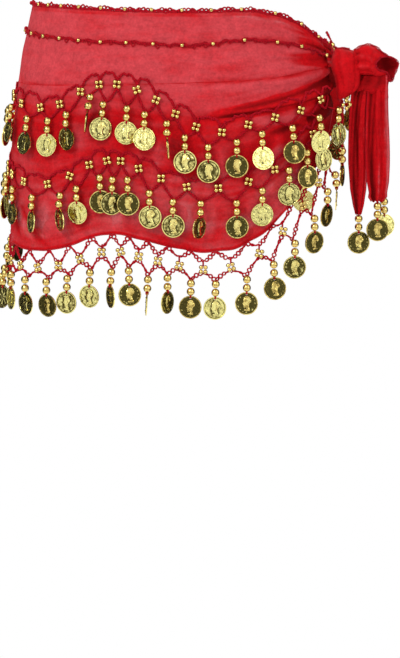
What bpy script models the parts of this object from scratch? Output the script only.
"""A belly dance hip scarf, worn: red chiffon wound once round the hips and tied at one side.

Two crochet braids, two rows of coin drops on the cloth and a netted coin fringe below the hem go round it.
The knot has one open loop and two hanging ends, each with coins of its own.
+Z is up, -Y is the front, and the knot is at +X. Girth is measured along the hips in metres from the
middle of the -X side: above 0 over the front, below 0 over the back. All lengths are in metres.
"""

import math
from types import SimpleNamespace

import bmesh
import bpy
import numpy as np
from mathutils import Matrix, Vector

# The hip form that the scarf is wound on: an oval that narrows towards the waist.
HIP_HALF_WIDTH = 0.160
HIP_HALF_DEPTH = 0.109
OVAL_POWER = 2.5
HIP_LINE_Z = -0.100
WAIST_Z = 0.066
WAIST_WIDTH_LOSS = 0.021
WAIST_DEPTH_LOSS = 0.013
FLARE_POWER = 1.8

# Cloth and thread.
CLOTH_WALL = 0.0012
SEAM_GAP = 0.0003
FRONT_END = 0.392
FRONT_ACROSS = 32
FRONT_DOWN = 20
BACK_END = -0.460
BACK_ACROSS = 26
BACK_DOWN = 14
BRAID_RADIUS = 0.0010
BRAID_OUT = 0.0018
NET_HALF = 0.0008
NET_OUT = 0.0024

# Coin drops: two round beads and a coin, and the four-bead clusters between them.
DROP_SPACING = 0.0245
BEAD_RADIUS = 0.0033
COIN_RADIUS = 0.0108
COIN_HALF_THICKNESS = 0.0005
COIN_CLEARANCE = 0.0060
COIN_FREE = 0.0015
BACK_FREE = 0.0060
CROWDED = 0.042
CROWD_OVER = 0.005
CROWD_OUT = 0.0065
CLUSTER_HALF = 0.0038
CLUSTER_HALF_THICKNESS = 0.0015
ROOT_HALF = 0.0012
HEM_NET_DROP = 0.0160

# The lines of the scarf at each girth: its top edge, the second braid, the clusters of two coin rows, the hem.
LINE_COLUMNS = ("girth", "top", "second", "upper", "middle", "hem")
LINES = (
    (-0.462, 0.021, 0.013, 0.003, -0.008, -0.020),
    (-0.435, 0.025, 0.016, -0.004, -0.019, -0.036),
    (-0.400, 0.029, 0.018, -0.008, -0.032, -0.054),
    (-0.360, 0.037, 0.021, -0.010, -0.044, -0.068),
    (-0.300, 0.045, 0.025, -0.012, -0.053, -0.079),
    (-0.240, 0.048, 0.026, -0.013, -0.057, -0.087),
    (-0.170, 0.049, 0.026, -0.013, -0.059, -0.094),
    (-0.100, 0.053, 0.030, -0.014, -0.059, -0.101),
    (-0.045, 0.061, 0.038, -0.018, -0.075, -0.121),
    (-0.020, 0.0655, 0.042, -0.018, -0.082, -0.140),
    (0.000, 0.0675, 0.0435, -0.018, -0.087, -0.1535),
    (0.040, 0.0685, 0.044, -0.021, -0.0905, -0.1575),
    (0.080, 0.069, 0.042, -0.0245, -0.0965, -0.160),
    (0.100, 0.0688, 0.0412, -0.0222, -0.095, -0.158),
    (0.120, 0.0685, 0.040, -0.011, -0.087, -0.153),
    (0.155, 0.0675, 0.039, -0.001, -0.072, -0.142),
    (0.185, 0.067, 0.0385, -0.007, -0.079, -0.146),
    (0.225, 0.0665, 0.0365, -0.031, -0.095, -0.155),
    (0.260, 0.0665, 0.038, -0.045, -0.0975, -0.157),
    (0.290, 0.067, 0.041, -0.038, -0.091, -0.148),
    (0.320, 0.064, 0.039, -0.031, -0.076, -0.125),
    (0.347, 0.057, 0.035, -0.025, -0.055, -0.094),
    (0.372, 0.045, 0.028, -0.0155, -0.036, -0.063),
    (0.394, 0.033, 0.021, -0.010, -0.019, -0.024),
)

# The largest folds: ridges that fan out of the knot, from a start to an end point on the cloth.
FOLD_COLUMNS = ("girth_from", "z_from", "girth_to", "z_to", "height", "half_width")
FOLDS = (
    (0.404, -0.004, 0.230, -0.040, 0.0060, 0.012),
    (0.404, 0.008, 0.250, 0.004, 0.0045, 0.011),
    (0.404, 0.016, 0.300, 0.045, 0.0035, 0.012),
    (0.404, 0.020, 0.340, 0.056, 0.0025, 0.007),
    (0.404, -0.014, 0.300, -0.075, 0.0035, 0.013),
    (-0.462, 0.000, -0.300, -0.022, 0.0055, 0.012),
    (-0.462, 0.009, -0.320, 0.014, 0.0040, 0.011),
    (-0.462, -0.010, -0.340, -0.058, 0.0035, 0.012),
)

# The drops over the front, from the knot round to the -X side: each one's girth, how many degrees its coin has
# turned on its thread, and how far its root hangs below the clusters beside it. Where drops crowd together,
# their coins turn the same way and lie like tiles.
DROP_COLUMNS = ("girth", "turn", "root_drop")
FRONT_DROPS = {
    "upper": (
        (0.379, -24, 0.0118), (0.356, -20, 0.0092), (0.330, -14, 0.0105), (0.301, 6, 0.0092),
        (0.277, -10, 0.0088), (0.250, 0, 0.0122), (0.228, -6, 0.0148), (0.211, -86, 0.0123),
        (0.190, 20, 0.0168), (0.173, 20, 0.0186), (0.150, 28, 0.0160), (0.137, -76, 0.0079),
        (0.114, -23, 0.0128), (0.095, 4, 0.0100), (0.069, -4, 0.0089), (0.032, 5, 0.0050),
    ),
    "middle": (
        (0.364, -8, 0.0063), (0.345, -12, 0.0070), (0.326, -10, 0.0074), (0.300, 0, 0.0100),
        (0.276, -5, 0.0130), (0.243, 55, 0.0103), (0.217, 6, 0.0150), (0.195, 14, 0.0164),
        (0.175, 18, 0.0126), (0.161, 22, 0.0155), (0.149, 25, 0.0129), (0.127, -11, 0.0135),
        (0.111, -41, 0.0121), (0.080, -28, 0.0106), (0.049, 0, 0.0096), (0.030, 0, 0.0052),
    ),
    "hem": (
        (0.379, 34, 0.0188), (0.3685, 12, 0.0175), (0.3525, 0, 0.0222), (0.332, -20, 0.0200),
        (0.311, -4, 0.0175), (0.286, -8, 0.0150), (0.257, 4, 0.0120), (0.234, -6, 0.0115),
        (0.212, 59, 0.0108), (0.194, -85, 0.0169), (0.176, 15, 0.0133), (0.160, -59, 0.0167),
        (0.140, -16, 0.0144), (0.118, -5, 0.0122), (0.096, -5, 0.0112), (0.070, -2, 0.0095),
        (0.045, 0, 0.0092), (0.021, -45, 0.0092),
    ),
}
# The drops over the back are evenly spaced, and their turns follow this cycle.
BACK_TURNS = (8, -20, 5, 0, -12, 15, 35, -30, 60)
BACK_LAST = {"upper": -0.402, "middle": -0.384, "hem": -0.340}
BACK_ROOT_DROP = {"upper": 0.0125, "middle": 0.0125, "hem": 0.0145}

# The knot: rolled cloth round the crossing ends. Each row is one section of the roll, from the top down.
BAND_COLUMNS = ("x", "y", "z", "half_across", "half_deep", "lean")
BAND = (
    (0.1578, -0.040, 0.0290, 0.0083, 0.0100, 12.0),
    (0.1594, -0.041, 0.0235, 0.0117, 0.0180, 8.0),
    (0.1581, -0.042, 0.0130, 0.0135, 0.0215, 0.0),
    (0.1598, -0.042, 0.0010, 0.0118, 0.0200, 0.0),
    (0.1599, -0.047, -0.0080, 0.0106, 0.0140, -8.0),
    (0.1579, -0.049, -0.0145, 0.0081, 0.0100, -15.0),
    (0.1543, -0.050, -0.0190, 0.0038, 0.0055, -20.0),
)
BAND_SIDES = 12
BAND_RIPPLE = 0.05
BAND_RIPPLES = 3

# The loop of the knot: an open sleeve of cloth. Each row is one ring of it; lean tips a ring's top towards
# the knot, and yaw turns its front edge towards the knot, so that the mouth looks forwards.
LOOP_COLUMNS = ("x", "y", "z", "half_high", "half_deep", "lean", "yaw")
LOOP = (
    (0.1726, -0.043, 0.0150, 0.0120, 0.0120, 0.0, 0.0),
    (0.1775, -0.044, 0.0172, 0.0143, 0.0145, 0.0, 8.0),
    (0.1850, -0.045, 0.0165, 0.0140, 0.0160, 2.0, 18.0),
    (0.1920, -0.046, 0.0142, 0.0125, 0.0162, 5.0, 28.0),
    (0.1990, -0.046, 0.0128, 0.0098, 0.0160, 8.0, 36.0),
)
LOOP_SIDES = 16
LOOP_RIPPLE = 0.03
LOOP_RIPPLES = 3

# The gathered cloth below the loop, which the two hanging ends come out of. Its rows are like the band's.
GATHER = (
    (0.1862, -0.042, 0.0005, 0.0136, 0.0100, 0.0),
    (0.1853, -0.042, -0.0060, 0.0140, 0.0100, 0.0),
    (0.1842, -0.042, -0.0120, 0.0152, 0.0090, 0.0),
    (0.1816, -0.042, -0.0178, 0.0180, 0.0070, 0.0),
)

# The hanging ends, each a pleated strip that narrows to its tip. Each row is one level of a strip.
TAIL_COLUMNS = ("x", "z", "half_wide", "pleat")
TAILS = {
    "tail_inner": (
        (0.1712, -0.0185, 0.0080, 0.0014),
        (0.1708, -0.0300, 0.0080, 0.0016),
        (0.1705, -0.0450, 0.0080, 0.0018),
        (0.1703, -0.0800, 0.0080, 0.0018),
        (0.1707, -0.1050, 0.0070, 0.0012),
        (0.1712, -0.1200, 0.0050, 0.0004),
        (0.1715, -0.1288, 0.0028, 0.0000),
    ),
    "tail_outer": (
        (0.1892, -0.0185, 0.0096, 0.0018),
        (0.1895, -0.0500, 0.0103, 0.0022),
        (0.1896, -0.0800, 0.0105, 0.0022),
        (0.1897, -0.0980, 0.0101, 0.0019),
        (0.1898, -0.1080, 0.0086, 0.0016),
        (0.1896, -0.1125, 0.0090, 0.0014),
        (0.1892, -0.1165, 0.0060, 0.0008),
    ),
}
TAIL_PLEATS = {"tail_inner": 1.5, "tail_outer": 2.0}
TAIL_Y = -0.043
TAIL_ACROSS = 16
TAIL_DOWN = 10
TAIL_WALL = 0.0010

# The drops on the knot and the hanging ends: where each starts, the length of its thread, and its coin's turn.
END_DROP_COLUMNS = ("x", "y", "z", "thread", "turn")
END_DROPS = {
    "knot_drop": (0.1557, -0.0500, -0.0196, 0.0457, 78.0),
    "tail_inner_drop": (0.1716, -0.0430, -0.1292, 0.0012, 12.0),
    "tail_outer_drop_front": (0.1894, -0.0460, -0.1169, 0.0012, 8.0),
    "tail_outer_drop_back": (0.1960, -0.0365, -0.1135, 0.0012, 25.0),
}

RED_CHIFFON = ("red_chiffon", (0.56, 0.020, 0.040, 1.0), 0.75, 0.0)
RED_THREAD = ("red_thread", (0.36, 0.008, 0.022, 1.0), 0.80, 0.0)
GOLD_TRIM = ("gold_trim", (0.80, 0.62, 0.22, 1.0), 0.28, 1.0)


def clear_scene():
    for old in list(bpy.data.objects):
        bpy.data.objects.remove(old, do_unlink=True)


def material(name, colour, roughness, metallic):
    made = bpy.data.materials.get(name) or bpy.data.materials.new(name)
    made.use_nodes = True
    shader = made.node_tree.nodes["Principled BSDF"]
    shader.inputs["Base Color"].default_value = colour
    shader.inputs["Roughness"].default_value = roughness
    shader.inputs["Metallic"].default_value = metallic
    return made


def rows(columns, table):
    """The rows of a table, with its columns as names."""
    return [SimpleNamespace(**dict(zip(columns, row))) for row in table]


def column(columns, table, name):
    return np.array([getattr(row, name) for row in rows(columns, table)])


def smooth(t):
    t = min(max(t, 0.0), 1.0)
    return t * t * (3 - 2 * t)


def line_curve(name):
    xs, ys = column(LINE_COLUMNS, LINES, "girth"), column(LINE_COLUMNS, LINES, name)
    return xs, ys, np.gradient(ys, xs)


LINE_CURVES = {name: line_curve(name) for name in LINE_COLUMNS[1:]}
FOLD_ROWS = rows(FOLD_COLUMNS, FOLDS)


def line(name, girth):
    """The height of a named line of the scarf at a girth, as one smooth curve through the table."""
    xs, ys, slopes = LINE_CURVES[name]
    i = int(np.clip(np.searchsorted(xs, girth) - 1, 0, len(xs) - 2))
    step = xs[i + 1] - xs[i]
    t = (girth - xs[i]) / step
    from_left = ys[i] + slopes[i] * step * t
    from_right = ys[i + 1] - slopes[i + 1] * step * (1 - t)
    return float(from_left + (from_right - from_left) * smooth(t))


def signed_power(value, power):
    return math.copysign(abs(value) ** power, value)


def oval_at(angle, half_width, half_depth):
    """A point of the hip oval: angle 0 is the -X side, and it grows over the front."""
    x = -half_width * signed_power(math.cos(angle), 2 / OVAL_POWER)
    y = -half_depth * signed_power(math.sin(angle), 2 / OVAL_POWER)
    return x, y


def half_girth_table(count=720):
    """The share of half the girth that each angle from 0 to pi has passed, and half the girth itself."""
    angles = np.linspace(0.0, math.pi, count)
    points = np.array([oval_at(a, HIP_HALF_WIDTH, HIP_HALF_DEPTH) for a in angles])
    lengths = np.concatenate([[0.0], np.cumsum(np.linalg.norm(np.diff(points, axis=0), axis=1))])
    return angles, lengths / lengths[-1], float(lengths[-1])


ANGLES, SHARES, HALF_GIRTH = half_girth_table()


def hip_sizes(z):
    rise = (z - HIP_LINE_Z) / (WAIST_Z - HIP_LINE_Z)
    loss = min(max(rise, 0.0), 1.1) ** FLARE_POWER
    return HIP_HALF_WIDTH - WAIST_WIDTH_LOSS * loss, HIP_HALF_DEPTH - WAIST_DEPTH_LOSS * loss


def hip_frame(girth, z):
    """The point of the hip form at a girth and a height, with the directions outwards and along the girth."""
    share = (girth / HALF_GIRTH + 1) % 2 - 1
    angle = math.copysign(float(np.interp(abs(share), SHARES, ANGLES)), share)
    half_width, half_depth = hip_sizes(z)
    x, y = oval_at(angle, half_width, half_depth)
    outward = Vector(
        (
            signed_power(x / half_width, OVAL_POWER - 1) / half_width,
            signed_power(y / half_depth, OVAL_POWER - 1) / half_depth,
            0.0,
        )
    ).normalized()
    return Vector((x, y, z)), outward, Vector((-outward.y, outward.x, 0.0))


def fold_height(girth, z):
    """How far the folds lift the cloth off the hip form."""
    lift = 0.0
    for fold in FOLD_ROWS:
        along = (girth - fold.girth_from) / (fold.girth_to - fold.girth_from)
        if 0.0 <= along <= 1.0:
            centre = fold.z_from + (fold.z_to - fold.z_from) * along
            fan = fold.half_width * (0.45 + 0.55 * along)
            ridge = fold.height * (0.45 + 0.55 * smooth(along / 0.25)) * (1 - smooth(along))
            lift += ridge * math.exp(-(((z - centre) / fan) ** 2))
    return lift


def on_cloth(girth, z, out=0.0):
    """A point that lies a distance outside the cloth's outer face."""
    point, outward, _ = hip_frame(girth, z)
    return point + outward * (fold_height(girth, max(z, line("hem", girth))) + out)


def new_object(name, mesh, paint):
    made = bpy.data.objects.new(name, mesh)
    mesh.materials.clear()
    mesh.materials.append(material(*paint))
    COLLECTION.objects.link(made)
    return made


def from_bmesh(name, bm, paint, smooth_angle=40.0):
    bmesh.ops.recalc_face_normals(bm, faces=bm.faces)
    mesh = bpy.data.meshes.new(name)
    bm.to_mesh(mesh)
    bm.free()
    mesh.shade_smooth()
    mesh.set_sharp_from_angle(angle=math.radians(smooth_angle))
    return new_object(name, mesh, paint)


def sheet(name, across, down, place, wall, paint):
    """A sheet of cloth: a grid whose points go where place(u, v) says, with a wall behind its outer face."""
    bpy.ops.mesh.primitive_grid_add(x_subdivisions=across, y_subdivisions=down, size=1.0)
    made = bpy.context.object
    made.name = name
    for vertex in made.data.vertices:
        vertex.co = place(vertex.co.x + 0.5, 0.5 - vertex.co.y)
    made.data.materials.append(material(*paint))
    for owner in list(made.users_collection):
        owner.objects.unlink(made)
    COLLECTION.objects.link(made)
    made.data.shade_smooth()
    solidify = made.modifiers.new("wall", "SOLIDIFY")
    solidify.thickness = wall
    solidify.offset = -1.0
    return made


def make_wrap(name, girth_from, girth_to, across, down):
    """One stretch of the wound cloth, from its top edge to its hem."""

    def place(u, v):
        girth = girth_from + (girth_to - girth_from) * u
        top, hem = line("top", girth), line("hem", girth)
        return on_cloth(girth, top + (hem - top) * v)

    return sheet(name, across, down, place, CLOTH_WALL, RED_CHIFFON)


def make_braid(name, girths, height, out):
    """A crochet braid along the cloth, as one tube."""
    data = bpy.data.curves.new(name, "CURVE")
    data.dimensions = "3D"
    data.bevel_depth = BRAID_RADIUS
    data.bevel_resolution = 0
    data.use_fill_caps = True
    spline = data.splines.new("POLY")
    spline.points.add(len(girths) - 1)
    for point, girth in zip(spline.points, girths):
        point.co = (*on_cloth(girth, height(girth), out), 1.0)
    data.materials.append(material(*RED_THREAD))
    made = bpy.data.objects.new(name, data)
    COLLECTION.objects.link(made)
    return made


def ring(bm, centre, across, deep, half_across, half_deep):
    """Four points round a strand, in the order that bridge() joins."""
    corners = ((-1, 1), (1, 1), (1, -1), (-1, -1))
    return [bm.verts.new(centre + across * (a * half_across) + deep * (d * half_deep)) for a, d in corners]


def bridge(bm, first, second):
    for i in range(4):
        bm.faces.new((first[i], first[(i + 1) % 4], second[(i + 1) % 4], second[i]))


def cap(bm, corners):
    bm.faces.new(corners)


def turned(direction, degrees):
    return Matrix.Rotation(math.radians(degrees), 3, "Z") @ direction


def add_drop(bm, root, place, turn, free=COIN_FREE):
    """A coin drop that grows down from the four root points. place(fall, swing) is the strand's point that
    far below the root and that far outside it, with the directions along the cloth and outwards. A coin that
    is turned swings out, so that its inner edge stays free of what lies behind it."""
    bead_step = 2 * BEAD_RADIUS
    coin_reach = COIN_RADIUS * abs(math.sin(math.radians(turn))) + free - COIN_CLEARANCE
    coin_top = 2 * bead_step + 0.0012
    octagon = (
        (COIN_RADIUS * math.cos(math.pi / 8), COIN_RADIUS * math.sin(math.pi / 8)),
        (COIN_RADIUS * math.sin(math.pi / 8), COIN_RADIUS * math.cos(math.pi / 8)),
    )
    sections = [
        (BEAD_RADIUS, BEAD_RADIUS, BEAD_RADIUS, 0.5),
        (bead_step, BEAD_RADIUS * 0.45, BEAD_RADIUS * 0.45, 0.8),
        (bead_step + BEAD_RADIUS, BEAD_RADIUS, BEAD_RADIUS, 1.0),
    ]
    for side in (1, -1):
        for rise, half in octagon if side == 1 else reversed(octagon):
            sections.append((coin_top + COIN_RADIUS - side * rise, half, COIN_HALF_THICKNESS, 1.0))
    last = root
    for fall, half_across, half_deep, twist in sections:
        swing = max(coin_reach, 0.0) * smooth(fall / coin_top)
        centre, along, outward = place(fall, swing)
        across, deep = turned(along, turn * twist), turned(outward, turn * twist)
        level = ring(bm, centre, across, deep, half_across, half_deep)
        bridge(bm, last, level)
        last = level
    cap(bm, last)


def cloth_drop(girth, z_root, out):
    """The place() of a drop that hangs down in front of the cloth."""

    def place(fall, swing):
        point, outward, along = hip_frame(girth, z_root - fall)
        nearest = max(z_root - fall, line("hem", girth))
        return point + outward * (fold_height(girth, nearest) + out + swing), along, outward

    return place


def side_ring(bm, girth, z, out, half_high, half_deep):
    """A ring of a strand that runs along the girth: its four points go top and bottom, outside and inside."""
    _, outward, _ = hip_frame(girth, z)
    return ring(bm, on_cloth(girth, z, out), Vector((0.0, 0.0, 1.0)), outward, half_high, half_deep)


def root_box(bm, girth, z, out):
    """The small knot of thread that a drop hangs from: its two side rings, and its underside."""
    rings = [side_ring(bm, girth + s * ROOT_HALF, z, out, ROOT_HALF, NET_HALF) for s in (-1, 1)]
    left, right = rings
    cap(bm, (left[1], left[2], right[2], right[1]))
    cap(bm, (left[0], left[1], right[1], right[0]))
    cap(bm, (left[2], left[3], right[3], right[2]))
    return left, right, (left[0], right[0], right[3], left[3])


def drops_of(row):
    """The drops of a row, from the knot round over the front and then the back."""
    drops = rows(DROP_COLUMNS, FRONT_DROPS[row])
    start = drops[-1].girth
    count = round((start - BACK_LAST[row]) / DROP_SPACING)
    for index in range(1, count + 1):
        girth = start + (BACK_LAST[row] - start) * index / count
        turn = BACK_TURNS[index % len(BACK_TURNS)]
        drops.append(SimpleNamespace(girth=girth, turn=turn, root_drop=BACK_ROOT_DROP[row]))
    return drops


def crowding(row, girth):
    """How far, from 0 to 1, the drops of a row overlap the drops of the row below it."""
    below = {"upper": "middle", "middle": "hem"}.get(row)
    if below is None:
        return 0.0
    return smooth((CROWDED - line(row, girth) + line(below, girth)) / CROWD_OVER)


def make_cloth_row(name, row):
    """A coin row on the cloth: one crocheted strand that rises to each bead cluster and falls to each drop.
    Where rows crowd together, the upper one hangs over the other, and coins of both lie flatter."""
    bm = bmesh.new()
    drops = drops_of(row)
    strand = None
    for index, drop in enumerate(drops):
        girth = drop.girth
        z_root = line(row, girth) - drop.root_drop
        left, right, under = root_box(bm, girth, z_root, NET_OUT)
        over = crowding("upper", girth)
        out = COIN_CLEARANCE + (CROWD_OUT * over if row == "upper" else 0.0)
        free = COIN_FREE if girth > 0 else BACK_FREE
        add_drop(bm, under, cloth_drop(girth, z_root, out), drop.turn * (1 - 0.8 * over), free)
        if strand is None:
            cap(bm, right)
        else:
            bridge(bm, right, strand)
        if index == len(drops) - 1:
            cap(bm, left)
            break
        middle = (girth + drops[index + 1].girth) / 2
        out = NET_OUT - NET_HALF + CLUSTER_HALF_THICKNESS
        sides = [
            side_ring(bm, middle + s * CLUSTER_HALF, line(row, middle), out, CLUSTER_HALF, CLUSTER_HALF_THICKNESS)
            for s in (-1, 1)
        ]
        bridge(bm, sides[1], left)
        bridge(bm, sides[0], sides[1])
        strand = sides[0]
    return from_bmesh(name, bm, GOLD_TRIM)


def cluster_block(bm, girth, z, out):
    """A bead cluster of the open net, two beads high, with an upper and a lower half on each side."""
    levels = []
    for rise in (1, 0, -1):
        height = z + rise * CLUSTER_HALF
        _, outward, along = hip_frame(girth, height)
        corners = ((-1, 1), (1, 1), (1, -1), (-1, -1))
        centre = on_cloth(girth, height, out)
        levels.append(
            [
                bm.verts.new(centre + along * (a * CLUSTER_HALF) + outward * (d * CLUSTER_HALF_THICKNESS))
                for a, d in corners
            ]
        )
    for upper, lower in zip(levels, levels[1:]):
        for i in (0, 2):
            bm.faces.new((upper[i], upper[i + 1], lower[i + 1], lower[i]))
    cap(bm, levels[0])
    cap(bm, levels[2])

    def side(half, near, far):
        top, bottom = levels[half], levels[half + 1]
        return [bottom[near], top[near], top[far], bottom[far]]

    return {
        "upper_left": side(0, 0, 3),
        "lower_left": side(1, 0, 3),
        "upper_right": side(0, 1, 2),
        "lower_right": side(1, 1, 2),
    }


def make_hem_fringe():
    """The open net below the hem: an upper strand tied to the hem between the clusters, a lower strand with the
    drops, and the clusters between them."""
    bm = bmesh.new()
    drops = drops_of("hem")
    out = NET_HALF
    cluster = None
    for index, drop in enumerate(drops):
        girth = drop.girth
        hem = line("hem", girth)
        z_root = hem - HEM_NET_DROP - drop.root_drop
        tie = side_ring(bm, girth, hem - SEAM_GAP - NET_HALF - 0.0004, out, NET_HALF, NET_HALF)
        left, right, under = root_box(bm, girth, z_root, out + NET_HALF)
        add_drop(bm, under, cloth_drop(girth, z_root, COIN_CLEARANCE), drop.turn)
        if cluster is None:
            cap(bm, right)
            start = tie
        else:
            bridge(bm, tie, cluster["upper_left"])
            bridge(bm, right, cluster["lower_left"])
        if index == len(drops) - 1:
            cap(bm, left)
            cap(bm, tie)
            break
        middle = (girth + drops[index + 1].girth) / 2
        cluster = cluster_block(bm, middle, line("hem", middle) - HEM_NET_DROP, out + CLUSTER_HALF_THICKNESS)
        bridge(bm, cluster["upper_right"], tie)
        bridge(bm, cluster["lower_right"], left)
    cap(bm, start)
    return from_bmesh("hem_coin_fringe", bm, GOLD_TRIM)


def rippled_ring(bm, centre, first, second, half_first, half_second, sides, ripple, ripples):
    points = []
    for i in range(sides):
        angle = 2 * math.pi * i / sides
        reach = 1 + ripple * math.cos(ripples * angle)
        points.append(
            bm.verts.new(
                centre
                + first * (half_first * reach * math.cos(angle))
                + second * (half_second * reach * math.sin(angle))
            )
        )
    return points


def loft(bm, rings):
    for lower, upper in zip(rings, rings[1:]):
        count = len(lower)
        for i in range(count):
            bm.faces.new((lower[i], lower[(i + 1) % count], upper[(i + 1) % count], upper[i]))


def make_knot_roll(name, table):
    """Rolled or gathered cloth of the knot, from its section at each level."""
    bm = bmesh.new()
    rings = []
    for row in rows(BAND_COLUMNS, table):
        across = Matrix.Rotation(math.radians(row.lean), 3, "Y") @ Vector((1.0, 0.0, 0.0))
        centre, deep = Vector((row.x, row.y, row.z)), Vector((0.0, 1.0, 0.0))
        rings.append(
            rippled_ring(
                bm, centre, across, deep, row.half_across, row.half_deep, BAND_SIDES, BAND_RIPPLE, BAND_RIPPLES
            )
        )
    loft(bm, rings)
    cap(bm, rings[0])
    cap(bm, rings[-1])
    return from_bmesh(name, bm, RED_CHIFFON, smooth_angle=70.0)


def make_knot_loop():
    """The loop of the knot: a sleeve of cloth, open at its outer end, with its wall inside its outer face."""
    bm = bmesh.new()
    rings = []
    for row in rows(LOOP_COLUMNS, LOOP):
        high = Matrix.Rotation(math.radians(-row.lean), 3, "Y") @ Vector((0.0, 0.0, 1.0))
        deep = turned(Vector((0.0, -1.0, 0.0)), -row.yaw)
        centre = Vector((row.x, row.y, row.z))
        rings.append(
            rippled_ring(bm, centre, high, deep, row.half_high, row.half_deep, LOOP_SIDES, LOOP_RIPPLE, LOOP_RIPPLES)
        )
    loft(bm, rings)
    made = from_bmesh("knot_loop", bm, RED_CHIFFON, smooth_angle=70.0)
    wall = made.modifiers.new("wall", "SOLIDIFY")
    wall.thickness = CLOTH_WALL
    wall.offset = -1.0
    return made


def make_tail(name):
    """A hanging end of the scarf, pleated lengthwise."""
    heights = column(TAIL_COLUMNS, TAILS[name], "z")[::-1]
    levels = {key: column(TAIL_COLUMNS, TAILS[name], key)[::-1] for key in ("x", "half_wide", "pleat")}

    def place(u, v):
        z = heights[-1] + (heights[0] - heights[-1]) * v
        x, half_wide, pleat = (float(np.interp(z, heights, levels[key])) for key in levels)
        fold = math.cos(u * TAIL_PLEATS[name] * 2 * math.pi)
        return Vector((x + (2 * u - 1) * half_wide, TAIL_Y - pleat * fold, z))

    return sheet(name, TAIL_ACROSS, TAIL_DOWN, place, TAIL_WALL, RED_CHIFFON)


def make_end_drop(name):
    """A coin drop on a thread of its own, tied to the knot or to a hanging end."""
    drop = SimpleNamespace(**dict(zip(END_DROP_COLUMNS, END_DROPS[name])))
    bm = bmesh.new()
    along, outward = Vector((1.0, 0.0, 0.0)), Vector((0.0, -1.0, 0.0))
    top = Vector((drop.x, drop.y, drop.z))
    end = top - Vector((0.0, 0.0, drop.thread))
    thread = [ring(bm, point, along, outward, ROOT_HALF, NET_HALF) for point in (top, end)]
    cap(bm, thread[0])
    bridge(bm, thread[0], thread[1])

    def place(fall, _swing):
        return end - Vector((0.0, 0.0, fall)), along, outward

    add_drop(bm, thread[1], place, drop.turn)
    return from_bmesh(name, bm, GOLD_TRIM)


def main():
    gap = SEAM_GAP / 2
    make_wrap("wrap_front", gap, FRONT_END, FRONT_ACROSS, FRONT_DOWN)
    make_wrap("wrap_back", BACK_END, -gap, BACK_ACROSS, BACK_DOWN)
    girths = [*np.linspace(BACK_END, 0.0, BACK_ACROSS + 1)[:-1], *np.linspace(0.0, FRONT_END, FRONT_ACROSS + 1)]
    make_braid("top_braid", girths, lambda g: line("top", g) + BRAID_RADIUS + 2 * SEAM_GAP, -CLOTH_WALL / 2)
    make_braid("second_braid", girths, lambda g: line("second", g), BRAID_OUT)
    make_cloth_row("upper_coin_row", "upper")
    make_cloth_row("middle_coin_row", "middle")
    make_hem_fringe()
    make_knot_roll("knot_band", BAND)
    make_knot_roll("knot_gather", GATHER)
    make_knot_loop()
    for name in TAILS:
        make_tail(name)
    for name in END_DROPS:
        make_end_drop(name)


clear_scene()
COLLECTION = bpy.data.collections.new("belly_dance_hip_scarf")
bpy.context.scene.collection.children.link(COLLECTION)
main()
